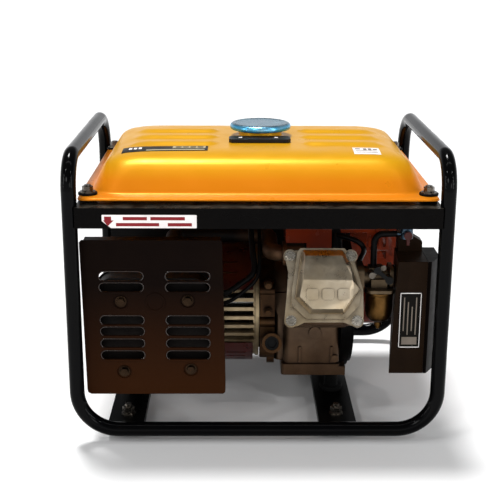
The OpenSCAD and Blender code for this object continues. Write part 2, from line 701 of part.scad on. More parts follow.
module blower_housing() {
  color([0.04, 0.04, 0.04]) difference() {
    union() {
      cylx(111.2, 124, CY, CZ, blower_radius);
      cylx(124, 128.8, CY, CZ, blower_radius - 5);
    }
    cylx(112.8, 126.9, CY, CZ, blower_radius - 9);
    cylx(112.8, 123, CY, CZ, blower_radius - 2);
    cylx(110, 113, CY, CZ, 45);
    cylx(126, 130, CY, CZ, 31.3);
    for (t = [0:15:345]) around(t) box(126, 130, -70, -44, -2.4, 2.4);
    // outlet towards the cylinder
    around(-cylinder_tilt) box(110.5, 112.9, -78, -50, -30, 30);
  }
}
module recoil_housing() {
  color([0.75, 0.28, 0.06]) difference() {
    union() {
      cylx(128.8, 166, CY, CZ, 33);
      cylx(128.8, 131, CY, CZ, 38);
      cyly(CY + 16, CY + 46, 147, CZ + 20, 7.5);
    }
    cylx(128, 163.6, CY, CZ, 31.2);
    cyly(CY + 10, CY + 47, 147, CZ + 20, 3.6);
    for (t = [0:45:315]) around(t) box(163, 167, -27, -14, -2, 2);
  }
  color([0.75, 0.28, 0.06]) cylx(154, 164, CY, CZ, 6);
}
module recoil_pulley() {
  color([0.85, 0.85, 0.82]) difference() {
    union() {
      cylx(141, 143, CY, CZ, 26);
      cylx(143, 151, CY, CZ, 19);
      cylx(151, 153, CY, CZ, 26);
    }
    cylx(140, 154.5, CY, CZ, 8);
    for (t = [0:60:300]) around(t) cylx(140, 154, -13.5, 0, 3.5);
  }
  color([0.85, 0.85, 0.82]) difference() {
    cylx(141.4, 162, CY, CZ, 8.2);
    cylx(153.8, 163, CY, CZ, 6.05);
  }
}
module recoil_handle() {
  color([0.03, 0.03, 0.03]) {
    cyly(CY + 46.2, CY + 58, 147, CZ + 20, 5.5);
    rbz(132, 170, CY + 56, CY + 72, CZ + 10, CZ + 27, 7);
  }
}
module cylinder_shroud() {
  // painted sheet that guides the cooling air over the cylinder and the blower
  color([0.85, 0.33, 0.07]) difference() {
    union() {
      box(36, 166, -84, 40, 248, 249.6);
      box(36, 37.6, -84, 40, 226, 249);
      translate([0, -84, 249]) rotate([-24, 0, 0]) box(36, 166, 0, 1.6, -26, 0);
      box(164.4, 166, -70, 40, 206, 249);
      // rear wall behind the starter, and the pointed front corner
      box(131, 196, 38.4, 40, 158, 249);
      translate([0, -85, 0]) rotate([90, 0, 0]) linear_extrude(height = 1.6)
        polygon([[149, 249.6], [166, 249.6], [171, 232], [171, 214], [166, 219], [157, 238]]);
      box(149, 166, -86.6, -83, 248, 249.6);
    }
    for (y = [-52:12:32]) box(163, 167, y, y + 4, 214, 240);
    for (x = [140:9:158]) translate([0, -84, 249]) rotate([-24, 0, 0]) box(x, x + 4, -1, 3, -22, -8);
    translate([99.5, -70, 240]) cylinder(h = 20, r = 14);
    along_cylinder() translate([20, 0, 138]) rotate([-90, 0, 0]) translate([0, 0, 46])
      cylinder(h = 60, r = 12);
    translate([0, -84, 249]) rotate([-24, 0, 0]) box(104, 138, -1, 3, -30, -4);
    box(30, 62, PORT[0] - 21, PORT[0] + 21, PORT[1] - 18, PORT[1] + 15);
  }
}
module carburettor_body() {
  ca = INTAKE[0];
  cb = INTAKE[1];
  color([0.4, 0.35, 0.28]) difference() {
    union() {
      rbx(ca - 19, ca + 19, cb - 16, cb + 16, 122.4, 133, 8);
      cylx(132, 169.6, ca, cb, 12.5);
      rbx(ca - 18, ca + 18, cb - 14.6, cb + 14.6, 165, 169.6, 8);
      rbz(136, 170, -129.5, -93, 178.4, 182.2, 6);
      box(142, 162, -118, ca + 12, 181, cb);
      cylz(cb + 10, cb + 22, 146, -100, 2.5);
      box(140, 158, ca - 9, ca + 9, cb, cb + 13);
      cyly(-119, -108, 142, cb + 7, 4);
      cyly(-119, -108, 163, cb + 2, 4);
    }
    cylx(122, 171, ca, cb, 9);
    cyly(-130, -106, 142, cb + 7, 2.05);
    cyly(-130, -106, 163, cb + 2, 2.05);
  }
}
module float_bowl() {
  // drawn brass cup with a rolled flange and a drain screw
  color([0.55, 0.45, 0.27]) translate([153, -112, 0]) rotate_extrude() polygon([[0, 127], [2.6, 127],
    [3.2, 128], [3.2, 131], [4.8, 131], [4.8, 136.4], [7, 137.4], [11.6, 139.6], [15, 143.6],
    [16.6, 149.4], [17, 156], [17, 174.4], [18.8, 175], [18.8, 178.2], [15.4, 178.2], [15.4, 150],
    [13, 144.4], [9, 141.6], [0, 140.4]]);
}
module choke_lever() {
  cb = INTAKE[1];
  color([0.08, 0.08, 0.08]) {
    cyly(-127, -108, 163, cb + 2, 2);
    cyly(-128.5, -125.5, 163, cb + 2, 5);
    translate([163, -127.2, cb + 2]) rotate([0, -50, 0]) box(-2.5, 2.5, -1.2, 1.2, 0, 20);
    translate([163, -127.2, cb + 2]) rotate([0, -50, 0]) cyly(-1.2, 1.2, 0, 20, 4.5);
  }
}
module governor_arm() {
  cb = INTAKE[1];
  color([0.5, 0.5, 0.5]) {
    cyly(-122, -108, 142, cb + 7, 2);
    cyly(-123.5, -120.5, 142, cb + 7, 4);
    translate([142, -122, cb + 7]) rotate([0, 55, 0]) box(-2.2, 2.2, -1.2, 1.2, 0, 17);
    translate([142, -122, cb + 7]) rotate([0, 55, 0]) cyly(-1.2, 1.2, 0, 17, 3.4);
  }
}
module air_cleaner_body() {
  ca = INTAKE[0];
  cb = INTAKE[1];
  color([0.1, 0.09, 0.08]) difference() {
    union() {
      // box whose left wall leans outwards below and runs back towards the frame's side
      hull() {
        translate([0, 0, 75]) linear_extrude(height = 1)
          polygon([[166, -135], [208.7, -135], [208.7, -70], [176, -70]]);
        translate([0, 0, 221]) linear_extrude(height = 1)
          polygon([[172, -135], [208.7, -135], [208.7, -70], [176, -70]]);
      }
      cylx(169.8, 178, ca, cb, 14);
      // slanted intake duct on top
      translate([0, -68, 0]) rotate([90, 0, 0]) linear_extrude(height = 20)
        polygon([[178, 219], [208.7, 219], [208.7, 234.4], [194, 243.6], [189, 247], [178, 247]]);
    }
    hull() {
      translate([0, 0, 77]) linear_extrude(height = 1)
        polygon([[169, -133], [209.7, -133], [209.7, -72], [178.4, -72]]);
      translate([0, 0, 219]) linear_extrude(height = 1)
        polygon([[174.4, -133], [209.7, -133], [209.7, -72], [178.4, -72]]);
    }
    cylx(169, 182, ca, cb, 9);
    translate([0, -70, 0]) rotate([90, 0, 0]) linear_extrude(height = 16)
      polygon([[180, 218], [206.7, 218], [206.7, 233], [193, 241.6], [188, 245], [180, 245]]);
  }
}
module cover_outline(t) {
  polygon([[209, -135 + t], [213 - t * 0.4, -135 + t], [227 - t, -112 + t * 0.4],
    [227 - t, -70 - t], [209, -70 - t]]);
}
module air_cleaner_cover() {
  color([0.1, 0.09, 0.08]) difference() {
    union() {
      translate([0, 0, 75]) linear_extrude(height = 147) cover_outline(0);
      cylx(226, 229, -90, 150, 9);
      for (t = [0:60:300]) translate([0, -90, 150]) rotate([t, 0, 0]) box(226, 229.4, 6, 11, -2.5, 2.5);
    }
    translate([-1, 0, 77]) linear_extrude(height = 143) cover_outline(2);
  }
}
module air_filter_element() {
  color([0.2, 0.2, 0.19]) rbx(-133, -72, 77, 219, 189, 206, 1);
}

// ---- Control panel, facing +Y ----
PY = 166;
module control_panel() {
  color([0.08, 0.08, 0.08]) difference() {
    union() {
      rby(-210, 210, 153, 272, PY - 46, PY, 6);
      for (x = [-140, 60]) box(x, x + 20, PY - 4, PY - 2, 268, RZ1 - 2);
    }
    rby(-208, 208, 155, 270, PY - 44, PY - 2, 5);
    rby(-106, -38, 206, 246, PY - 3, PY + 1, 4);
    cyly(PY - 3, PY + 1, 0, 226, 5.05);
    box(33, 57, PY - 3, PY + 1, 211, 241);
    cylx(31.6, 58.4, PY - 1.5, 226, 1.3);
    cyly(PY - 3, PY + 1, 76, 200, 3.3);
    // cable holes in the inner wall
    cyly(PY - 47, PY - 43, -12, 236, 4.1);
    cyly(PY - 47, PY - 43, 0, 236, 2.7);
  }
}
module duplex_outlet() {
  color([0.9, 0.88, 0.82]) difference() {
    union() {
      rby(-105.8, -38.2, 206.2, 245.8, PY - 18, PY + 2.5, 4);
      rby(-112, -32, 202, 250, PY, PY + 1.4, 5);
    }
    for (x = [-90, -54]) {
      cyly(PY - 8, PY + 3, x, 216, 2.6);
      box(x - 7.5, x - 5.3, PY - 8, PY + 3, 224, 234);
      box(x + 5.3, x + 7.5, PY - 8, PY + 3, 225, 233);
    }
    cyly(PY - 8, PY + 3, -72, 226, 2);
  }
}
module breaker_button() {
  color([0.75, 0.12, 0.08]) {
    cyly(PY - 9, PY + 6, 0, 226, 5);
    cyly(PY - 11, PY - 8, 0, 226, 8);
  }
}
module engine_switch_rocker() {
  // seesaw profile, extruded along its pivot, with a pin at each end
  color([0.7, 0.08, 0.05]) {
    translate([33.4, PY - 1.5, 226]) rotate([8, 0, 0]) rotate([90, 0, 90])
      linear_extrude(height = 23.2)
        polygon([[-7, -8], [0, -12.6], [4.4, -12.6], [2.8, 0], [4.4, 12.6], [0, 12.6], [-7, 8]]);
    cylx(32, 58, PY - 1.5, 226, 1.2);
  }
}
module ground_terminal() {
  color([0.8, 0.7, 0.35]) {
    cyly(PY - 9, PY + 16, 76, 200, 3);
    hexy(PY - 8, PY - 2, 76, 200, 10);
    cyly(PY, PY + 1.4, 76, 200, 7);
    hexy(PY + 1.4, PY + 6, 76, 200, 10);
    cyly(PY + 8, PY + 13, 76, 200, 7);
  }
}
module wiring_harness() {
  color([0.03, 0.03, 0.03]) {
    swept_tube([[-62, -80, 160], [-40, -82, 164], [-22, -80, 175], [-4, -74, 190], [-6, -56, 216],
      [-8, -30, 240], [-10, 30, 242], [-12, 100, 236], [-12, 123, 236]], 4, 4, 12);
    swept_tube([[-60, -83, 150], [-38, -87, 153], [-16, -86, 168], [1, -80, 186], [3.5, -60, 214],
      [3, -26, 238], [2, 40, 240], [0, 100, 236], [0, 123, 236]], 2.6, 4, 12);
    // clip that holds the two cables side by side
    box(-15, 3, 104, 112, 231, 241);
  }
}

frame_tube_left();
frame_tube_right();
front_cross_rail();
rear_cross_rail();
base_plate_left();
base_plate_right();
rubber_feet();
frame_bolts();
engine_mounts();
alternator_foot();
tank_upper_shell();
tank_lower_shell();
tank_grommets();
tank_bolts();
fuel_cap_shell();
fuel_cap_plug();
fuel_strainer();
gauge_bezel();
gauge_lens();
gauge_pointer();
fuel_valve_body();
fuel_valve_lever();
fuel_hose();
crankcase();
crankcase_side_cover();
cylinder_and_head();
valve_cover();
valve_cover_bolts();
exhaust_pipe();
muffler_body();
muffler_heat_shield();
shield_screws();
spark_plug();
ignition_lead();
crankshaft();
flywheel_fan();
blower_housing();
recoil_housing();
recoil_pulley();
recoil_handle();
cylinder_shroud();
carburettor_body();
float_bowl();
choke_lever();
governor_arm();
air_cleaner_body();
air_cleaner_cover();
air_filter_element();
oil_filler_plug();
alternator_bracket();
alternator_cover();
alternator_stator();
alternator_rotor();
alternator_end_cover();
control_panel();
duplex_outlet();
breaker_button();
engine_switch_rocker();
ground_terminal();
wiring_harness();
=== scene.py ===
"""Looks of the open-frame portable generator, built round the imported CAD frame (metres)."""

import json
import math

import bpy
from mathutils import Matrix, Vector
from mathutils.bvhtree import BVHTree


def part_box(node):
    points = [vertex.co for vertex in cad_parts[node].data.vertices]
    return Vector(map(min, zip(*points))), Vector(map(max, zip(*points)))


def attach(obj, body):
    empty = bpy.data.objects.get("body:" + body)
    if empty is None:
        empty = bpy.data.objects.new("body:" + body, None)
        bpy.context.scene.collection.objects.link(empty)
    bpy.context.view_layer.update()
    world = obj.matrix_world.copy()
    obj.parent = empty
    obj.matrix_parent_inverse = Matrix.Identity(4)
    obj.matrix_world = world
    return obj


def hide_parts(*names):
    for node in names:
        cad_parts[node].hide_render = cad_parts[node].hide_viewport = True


MM = 0.001

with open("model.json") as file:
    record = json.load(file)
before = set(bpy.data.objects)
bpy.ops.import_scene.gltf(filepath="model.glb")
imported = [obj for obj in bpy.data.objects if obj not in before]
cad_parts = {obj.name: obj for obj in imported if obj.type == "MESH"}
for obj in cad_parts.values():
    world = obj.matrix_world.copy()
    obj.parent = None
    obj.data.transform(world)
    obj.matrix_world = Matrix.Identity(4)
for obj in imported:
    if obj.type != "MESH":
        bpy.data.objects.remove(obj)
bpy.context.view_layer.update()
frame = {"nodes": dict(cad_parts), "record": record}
NODES = frame["nodes"]


def edge(node, end, axis):
    """Where a CAD node starts (end 0) or stops (end 1) along an axis (0 for X, 1 for Y, 2 for Z), in mm."""
    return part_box(node)[end][axis] / MM


TUBE_RADIUS = 9.0
TUBE_Y = edge("frame_tube_left", 0, 1) + TUBE_RADIUS
TUBE_Z = edge("frame_tube_left", 0, 2) + TUBE_RADIUS
BUTT_X = edge("frame_tube_left", 1, 0)
RAIL_LABEL_Y = edge("front_cross_rail", 0, 1) + 0.12
AIR_BOX_LABEL_Y = edge("air_cleaner_body", 0, 1) - 0.25
GAUGE_MARK_Z = edge("gauge_bezel", 1, 2) + 0.15
MARK_LIFT = 0.15
RAIL_MARK_LIFT = 0.09


# ---------------------------------------------------------------- shader helpers
class Shader:
    """A node material with a Principled surface and short calls for the usual layers."""

    def __init__(self, name):
        self.material = bpy.data.materials.new(name)
        self.material.use_nodes = True
        self.nodes = self.material.node_tree.nodes
        self.links = self.material.node_tree.links
        self.surface = self.nodes["Principled BSDF"]
        self.coordinates = self.nodes.new("ShaderNodeTexCoord").outputs["Object"]

    def set(self, **sockets):
        for key, value in sockets.items():
            self.surface.inputs[key.replace("_", " ").title().replace("Ior", "IOR")].default_value = value

    def node(self, kind):
        return self.nodes.new("ShaderNode" + kind)

    def scaled(self, x, y, z):
        made = self.node("Mapping")
        made.inputs["Scale"].default_value = (x, y, z)
        self.links.new(self.coordinates, made.inputs["Vector"])
        return made.outputs["Vector"]

    def noise(self, scale, detail=4.0, roughness=0.55, at=None):
        made = self.node("TexNoise")
        made.inputs["Scale"].default_value = scale
        made.inputs["Detail"].default_value = detail
        made.inputs["Roughness"].default_value = roughness
        self.links.new(at or self.coordinates, made.inputs["Vector"])
        return made.outputs["Fac"]

    def cells(self, scale):
        made = self.node("TexVoronoi")
        made.inputs["Scale"].default_value = scale
        self.links.new(self.coordinates, made.inputs["Vector"])
        return made.outputs["Distance"]

    def ramp(self, value, low, high, out_low=0.0, out_high=1.0):
        made = self.node("MapRange")
        made.inputs["From Min"].default_value = low
        made.inputs["From Max"].default_value = high
        made.inputs["To Min"].default_value = out_low
        made.inputs["To Max"].default_value = out_high
        self.links.new(value, made.inputs["Value"])
        return made.outputs["Result"]

    def axis(self, name):
        made = self.node("SeparateXYZ")
        self.links.new(self.coordinates, made.inputs["Vector"])
        return made.outputs[name]

    def facing_up(self):
        """How far the surface faces the sky, for dust."""
        geometry = self.node("NewGeometry")
        split = self.node("SeparateXYZ")
        self.links.new(geometry.outputs["Normal"], split.inputs["Vector"])
        return split.outputs["Z"]

    def math(self, operation, a, b):
        made = self.node("Math")
        made.operation = operation
        for socket, value in zip(made.inputs, (a, b)):
            if isinstance(value, (int, float)):
                socket.default_value = value
            else:
                self.links.new(value, socket)
        return made.outputs["Value"]

    def crevice_shade(self, reach):
        """Grows from 0 on open surfaces to 1 in corners and gaps, for painted shade there, with a little
        dirt and soot.
        """
        made = self.node("AmbientOcclusion")
        made.samples = 6
        made.inputs["Distance"].default_value = reach
        return self.ramp(made.outputs["AO"], 0.35, 0.85, 1.0, 0.0)

    def mix(self, factor, a, b):
        made = self.node("Mix")
        made.data_type = "RGBA"
        if isinstance(factor, (int, float)):
            made.inputs[0].default_value = factor
        else:
            self.links.new(factor, made.inputs[0])
        for index, value in ((6, a), (7, b)):
            if isinstance(value, tuple):
                made.inputs[index].default_value = (*value, 1.0)
            else:
                self.links.new(value, made.inputs[index])
        return made.outputs[2]

    def colour(self, value):
        if isinstance(value, tuple):
            self.surface.inputs["Base Color"].default_value = (*value, 1.0)
        else:
            self.links.new(value, self.surface.inputs["Base Color"])

    def rough(self, value):
        self.links.new(value, self.surface.inputs["Roughness"])

    def bump(self, height, strength, distance):
        made = self.node("Bump")
        made.inputs["Strength"].default_value = strength
        made.inputs["Distance"].default_value = distance
        self.links.new(height, made.inputs["Height"])
        self.links.new(made.outputs["Normal"], self.surface.inputs["Normal"])


def srgb(r, g, b):
    """A display colour in 0 to 255 as the linear values that shaders take."""
    def linear(c):
        c /= 255
        return c / 12.92 if c <= 0.04045 else ((c + 0.055) / 1.055) ** 2.4
    return (linear(r), linear(g), linear(b))


def paint(name, base, dark, gloss, shine, peel=0.05, dust=0.0, low=None, flake=0.0):
    """Sprayed enamel: even colour with faint clouding, orange peel and a little dust on top faces.

    low is (height, height, colour), the colour that the sheet takes on below, and flake is how metallic
    the paint is.
    """
    s = Shader(name)
    s.set(metallic=flake, specular_ior_level=shine)
    cloud = s.ramp(s.noise(9.0, 3.0), 0.35, 0.7)
    body = s.mix(cloud, base, dark)
    if low:
        body = s.mix(s.ramp(s.axis("Z"), low[0], low[1], 1.0, 0.0), body, low[2])
    if dust:
        patches = s.ramp(s.noise(60.0, 6.0), 0.35, 0.8)
        settled = s.math("MULTIPLY", s.ramp(s.facing_up(), 0.55, 1.0), patches)
        body = s.mix(s.math("MULTIPLY", settled, dust), body, srgb(150, 140, 125))
    s.colour(body)
    s.rough(s.ramp(s.noise(35.0, 5.0), 0.3, 0.75, gloss, gloss + 0.12))
    s.bump(s.noise(420.0, 2.0), peel, 0.0003)
    return s.material


def cast(name, base, dark, gloss, grain=0.35, tint=None, metal=0.85, left_shade=None):
    """Sand- or die-cast metal: fine pits, slow staining, painted shade with a little grime in the corners
    and a rough sheen.

    The last argument is (x, x, colour), the colour of a painted shade that the metal takes on towards the
    left.
    """
    s = Shader(name)
    s.set(metallic=metal)
    stain = s.ramp(s.noise(22.0, 6.0, 0.65), 0.35, 0.7)
    body = s.mix(stain, base, dark)
    if tint:
        body = s.mix(s.math("MULTIPLY", s.ramp(s.noise(7.0, 3.0), 0.45, 0.75), 0.7), body, tint)
    # painted shade: the colour turns darker towards the left
    if left_shade:
        body = s.mix(s.ramp(s.axis("X"), left_shade[0], left_shade[1], 1.0, 0.0), body, left_shade[2])
    # painted shade with a little grime: corners and gaps are darkened towards a deep tone of the dark
    # colour
    shade_and_grime = s.crevice_shade(0.006)
    s.colour(s.mix(s.math("MULTIPLY", shade_and_grime, 0.8), body, tuple(0.22 * c for c in dark)))
    s.rough(s.ramp(s.noise(70.0, 5.0), 0.3, 0.75, gloss, gloss + 0.2))
    grit = s.math("ADD", s.noise(900.0, 3.0), s.math("MULTIPLY", s.noise(260.0, 2.0), 0.7))
    s.bump(grit, grain, 0.0004)
    return s.material


def machined(name, base, gloss, brushed=(1.0, 1.0, 1.0), dark=None):
    """Turned or plated steel: fine lines along one direction and light smudges."""
    s = Shader(name)
    s.set(metallic=1.0)
    smudge = s.ramp(s.noise(45.0, 5.0), 0.4, 0.75)
    s.colour(s.mix(smudge, base, dark or tuple(0.75 * c for c in base)))
    lines = s.noise(240.0, 3.0, 0.6, at=s.scaled(*brushed))
    s.rough(s.ramp(lines, 0.3, 0.75, gloss, gloss + 0.16))
    s.bump(lines, 0.12, 0.0002)
    return s.material


def rubber(name, base, gloss=0.55):
    """Moulded rubber: matte, slightly mottled, with a grey bloom on upward faces."""
    s = Shader(name)
    s.set(metallic=0.0, specular_ior_level=0.06)
    bloom = s.math("MULTIPLY", s.ramp(s.facing_up(), 0.3, 1.0), s.ramp(s.noise(90.0, 4.0), 0.4, 0.8))
    s.colour(s.mix(s.math("MULTIPLY", bloom, 0.035), base, srgb(95, 92, 88)))
    s.rough(s.ramp(s.noise(130.0, 4.0), 0.3, 0.75, gloss, gloss + 0.18))
    s.bump(s.noise(700.0, 3.0), 0.18, 0.0003)
    return s.material


def plastic(name, base, gloss, grain=0.2, scale=800.0, shine=0.2):
    """Injection-moulded plastic with a fine spark-eroded grain."""
    s = Shader(name)
    s.set(metallic=0.0, specular_ior_level=shine)
    s.colour(s.mix(s.ramp(s.noise(30.0, 4.0), 0.35, 0.75), base, tuple(0.8 * c for c in base)))
    s.rough(s.ramp(s.noise(110.0, 4.0), 0.3, 0.75, gloss, gloss + 0.12))
    s.bump(s.cells(scale), grain, 0.0002)
    return s.material


def filmed_metal(name, top, side, gloss):
    """Plated cap under a blue protective film: greyer on top, deep blue round the rim."""
    s = Shader(name)
    s.set(metallic=0.7)
    creases = s.noise(60.0, 5.0, 0.6, at=s.scaled(1.0, 1.0, 3.0))
    rim = s.ramp(s.axis("Z"), 0.3662, 0.3676, 1.0, 0.0)
    body = s.mix(rim, top, side)
    s.colour(s.mix(s.math("MULTIPLY", s.ramp(creases, 0.45, 0.7), 0.5), body, srgb(160, 190, 200)))
    s.rough(s.ramp(creases, 0.3, 0.75, gloss, gloss + 0.16))
    s.bump(creases, 0.25, 0.0006)
    return s.material


MATERIALS = {
    "tube_black": paint("tube_black", srgb(2, 2, 3), srgb(4, 4, 4), 0.06, 0.06, 0.02),
    "rail_black": paint("rail_black", srgb(3, 2, 2), srgb(6, 5, 4), 0.24, 0.035, 0.08, 0.2),
    "plate_black": paint("plate_black", srgb(2, 2, 2), srgb(4, 4, 4), 0.26, 0.03, 0.08),
    "rubber_black": rubber("rubber_black", srgb(7, 7, 7)),
    "zinc_steel": machined("zinc_steel", srgb(190, 184, 172), 0.2, (1.0, 1.0, 6.0), srgb(120, 112, 100)),
    "dark_zinc": machined("dark_zinc", srgb(104, 98, 90), 0.22, (1.0, 1.0, 6.0), srgb(56, 50, 44)),
    # the deeper orange that the tank takes on below the crown is painted shade on its walls
    "tank_yellow": paint("tank_yellow", srgb(196, 143, 13), srgb(192, 138, 12), 0.27, 0.08, 0.012, 0.0,
                         (0.322, 0.343, srgb(198, 115, 12)), 0.2),
    "cap_metal": filmed_metal("cap_metal", srgb(76, 104, 120), srgb(66, 152, 192), 0.2),
    "gasket_rubber": rubber("gasket_rubber", srgb(14, 14, 14)),
    "strainer_plastic": plastic("strainer_plastic", srgb(225, 222, 210), 0.4),
    "gauge_black": plastic("gauge_black", srgb(16, 16, 17), 0.3, 0.08),
    "gauge_clear": plastic("gauge_clear", srgb(44, 46, 48), 0.1, 0.02, 800.0, 0.5),
    "pointer_orange": plastic("pointer_orange", srgb(230, 90, 20), 0.4),
    "valve_zinc": machined("valve_zinc", srgb(62, 78, 92), 0.3),
    "lever_red": plastic("lever_red", srgb(60, 18, 14), 0.35),
    "hose_black": rubber("hose_black", srgb(7, 6, 6), 0.35),
    "cast_aluminium": cast("cast_aluminium", srgb(88, 70, 54), srgb(56, 42, 30), 0.36, 0.4,
                           srgb(74, 48, 26)),
    "side_aluminium": cast("side_aluminium", srgb(64, 42, 20), srgb(38, 22, 8), 0.34, 0.3,
                           srgb(58, 34, 10)),
    "cover_aluminium": cast("cover_aluminium", srgb(176, 164, 144), srgb(150, 134, 110), 0.24, 0.08,
                            srgb(158, 138, 104), 1.0),
    # darker towards the left end: painted shade on the part of the pipe seen through the heat shield's
    # louvres
    "exhaust_steel": cast("exhaust_steel", srgb(84, 60, 40), srgb(46, 30, 20), 0.42, 0.2,
                          srgb(66, 44, 44), 0.85, (-0.03, 0.0, srgb(12, 9, 8))),
    # near black: dark steel, darkened further as painted shade for its place behind the heat shield
    "muffler_steel": cast("muffler_steel", srgb(16, 12, 10), srgb(9, 7, 6), 0.5, 0.25,
                          srgb(18, 10, 7)),
    "shield_black": paint("shield_black", srgb(8, 3, 2), srgb(14, 6, 3), 0.34, 0.025, 0.16, 0.0,
                          (0.07, 0.2, srgb(42, 20, 5))),
    "rim_brown": paint("rim_brown", srgb(22, 13, 9), srgb(34, 20, 12), 0.2, 0.4, 0.06),
    "screw_brown": machined("screw_brown", srgb(42, 31, 22), 0.22, (1.0, 6.0, 1.0), srgb(18, 12, 8)),
    "ceramic_white": plastic("ceramic_white", srgb(232, 230, 222), 0.12, 0.02, 800.0, 0.5),
    "ground_steel": machined("ground_steel", srgb(170, 168, 164), 0.2, (30.0, 1.0, 1.0)),
    "fan_iron": cast("fan_iron", srgb(70, 68, 64), srgb(46, 44, 42), 0.42),
    "blower_black": paint("blower_black", srgb(3, 3, 3), srgb(6, 5, 4), 0.34, 0.05, 0.12, 0.02),
    # the shroud is painted the tank's orange-red; it is darkened here as painted shade for its place under
    # the tank
    "shroud_orange": paint("shroud_orange", srgb(112, 36, 9), srgb(62, 18, 6), 0.2, 0.3, 0.06, 0.03),
    "pulley_nylon": plastic("pulley_nylon", srgb(214, 212, 200), 0.4),
    "grip_black": rubber("grip_black", srgb(9, 9, 9), 0.45),
    "carb_zinc": cast("carb_zinc", srgb(88, 74, 56), srgb(58, 46, 32), 0.34, 0.2),
    "bowl_brass": machined("bowl_brass", srgb(92, 66, 34), 0.26, (1.0, 1.0, 4.0), srgb(52, 34, 14)),
    "lever_black": plastic("lever_black", srgb(8, 8, 8), 0.3, 0.2, 800.0, 0.1),
    "air_box_black": plastic("air_box_black", srgb(27, 17, 9), 0.4, 0.3, 520.0, 0.03),
    # air_cover_black is a darker copy of air_box_black: painted shade on the air cleaner cover
    "air_cover_black": plastic("air_cover_black", srgb(7, 4, 3), 0.34, 0.3, 520.0, 0.02),
    "filter_foam": rubber("filter_foam", srgb(50, 50, 48), 0.8),
    "bracket_aluminium": cast("bracket_aluminium", srgb(176, 158, 126), srgb(130, 110, 80), 0.34, 0.25),
    "cover_red": paint("cover_red", srgb(58, 11, 6), srgb(36, 6, 3), 0.24, 0.3, 0.08, 0.03),
    "stator_iron": cast("stator_iron", srgb(44, 30, 20), srgb(26, 17, 12), 0.45),
    "panel_black": paint("panel_black", srgb(6, 5, 5), srgb(9, 8, 8), 0.36, 0.07, 0.14, 0.03),
    "outlet_ivory": plastic("outlet_ivory", srgb(222, 214, 194), 0.3, 0.06, 800.0, 0.4),
    "button_red": plastic("button_red", srgb(180, 26, 18), 0.28, 0.06, 800.0, 0.4),
    "terminal_brass": machined("terminal_brass", srgb(206, 172, 96), 0.24, (1.0, 8.0, 1.0)),
    "cable_black": rubber("cable_black", srgb(7, 6, 6), 0.3),
    "label_white": plastic("label_white", srgb(226, 220, 218), 0.3, 0.03, 300.0),
    "label_red": plastic("label_red", srgb(120, 18, 26), 0.32, 0.03, 300.0),
    "label_grey": plastic("label_grey", srgb(110, 100, 90), 0.34, 0.03, 300.0),
    "label_silver": plastic("label_silver", srgb(158, 148, 118), 0.34, 0.03, 300.0),
    "label_black": plastic("label_black", srgb(12, 10, 7), 0.3, 0.03, 300.0, 0.05),
}
SLOT_OF = {row["node"]: row["material_slot"] for row in frame["record"]["subparts"]}
SLOT_OF.update({"muffler_body": "muffler_steel", "shield_screws": "screw_brown", "tank_bolts": "dark_zinc",
                "frame_bolts": "dark_zinc", "governor_arm": "dark_zinc",
                "air_cleaner_cover": "air_cover_black", "base_plate_left": "plate_black",
                "base_plate_right": "plate_black"})


# ---------------------------------------------------------------- CAD nodes with rounded edges
EDGE_ROUNDING = {
    "valve_cover": 0.6, "crankcase": 1.2, "crankcase_side_cover": 1.0, "cylinder_and_head": 0.4,
    "air_cleaner_body": 1.2, "air_cleaner_cover": 1.2, "muffler_heat_shield": 0.35,
    "carburettor_body": 0.7, "float_bowl": 0.8, "gauge_bezel": 1.0, "fuel_cap_shell": 0.6,
    "control_panel": 0.8, "duplex_outlet": 0.5, "recoil_handle": 1.8, "front_cross_rail": 0.8,
    "rear_cross_rail": 0.8, "base_plate_left": 0.7, "base_plate_right": 0.7,
    "alternator_bracket": 0.5, "rubber_feet": 0.8, "engine_mounts": 0.8,
}
DEFAULT_ROUNDING = 0.3


def finish_node(name):
    """Gives a CAD node its material and softens its edges, as a real casting, pressing or moulding has."""
    piece = NODES[name]
    piece.data.materials.clear()
    piece.data.materials.append(MATERIALS[SLOT_OF[name]])
    weld = piece.modifiers.new("weld", "WELD")
    weld.merge_threshold = 0.00001
    flat = piece.modifiers.new("flat", "DECIMATE")
    flat.decimate_type = "DISSOLVE"
    flat.angle_limit = math.radians(0.6)
    if name == "front_cross_rail":
        # drawn in a little, so that the label on its face stays within the frame's box
        thin = piece.modifiers.new("thin", "DISPLACE")
        thin.mid_level = 0.0
        thin.strength = -0.3 * MM
    bevel = piece.modifiers.new("edge", "BEVEL")
    bevel.width = EDGE_ROUNDING.get(name, DEFAULT_ROUNDING) * MM
    bevel.segments = 2
    bevel.limit_method = "ANGLE"
    bevel.angle_limit = math.radians(34)
    bevel.use_clamp_overlap = True
    bevel.harden_normals = True
    piece.data.shade_smooth()
    normals = piece.modifiers.new("normals", "WEIGHTED_NORMAL")
    normals.keep_sharp = True


for node_name in NODES:
    finish_node(node_name)


def add_piece(name, points, faces, material, body="generator", smooth=False):
    """A mesh piece from points in mm, riding on one body."""
    mesh = bpy.data.meshes.new(name)
    mesh.from_pydata([Vector(p) * MM for p in points], [], faces)
    mesh.update()
    piece = bpy.data.objects.new(name, mesh)
    bpy.context.scene.collection.objects.link(piece)
    mesh.materials.append(MATERIALS[material])
    if smooth:
        mesh.shade_smooth()
    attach(piece, body)
    return piece


def ring_faces(rings, around, closed=False):
    """Four-sided faces between neighbouring rings of points. If closed, the last ring joins the first."""
    faces = []
    for k in range(rings if closed else rings - 1):
        start = k * around
        following = (k + 1) % rings * around
        for j in range(around):
            e = (j + 1) % around
            faces.append((start + j, start + e, following + e, following + j))
    return faces


